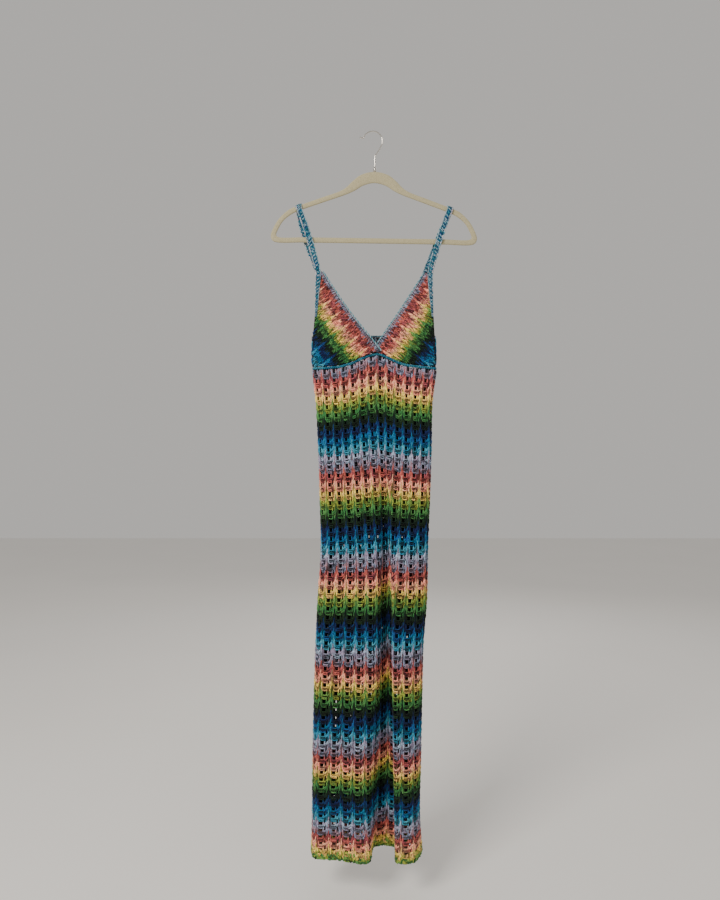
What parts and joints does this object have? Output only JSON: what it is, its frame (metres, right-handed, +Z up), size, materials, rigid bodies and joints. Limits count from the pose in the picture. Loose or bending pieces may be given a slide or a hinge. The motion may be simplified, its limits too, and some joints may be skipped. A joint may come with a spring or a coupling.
{
  "type": "sleeveless crochet dress on a hanger",
  "caption": "Long sleeveless crochet dress with two overlapping triangle cups, slim straps and a striped tube skirt, hung flat on a slim hanger with a wire hook.",
  "frame": {"origin": "underside of the wire hook's top, where the hanger hangs", "axes": "+Z up along the dress, -Y out of its front, +X to the viewer's right along the hanger"},
  "size_m": [0.4452, 0.0828, 1.5548],
  "materials": {
    "striped_crochet": "cotton yarn in a repeat of eleven colours",
    "cup_crochet": "close cotton crochet in the same colours",
    "teal_yarn": "flecked teal cotton yarn",
    "velvet_coating": "flocked, matt",
    "chrome_wire": "polished"
  },
  "bodies": {
    "root": {"skirt_front": "striped_crochet", "skirt_back": "striped_crochet", "waist_band_front": "teal_yarn", "waist_band_back": "teal_yarn", "cup_left": "cup_crochet", "cup_right": "cup_crochet", "bodice_back": "cup_crochet", "neck_edging_left": "teal_yarn", "neck_edging_right": "teal_yarn", "back_top_edging": "teal_yarn", "strap_left": "teal_yarn", "strap_right": "teal_yarn", "hanger_body": "velvet_coating", "hanger_hook": "chrome_wire"}
  },
  "joints": []
}
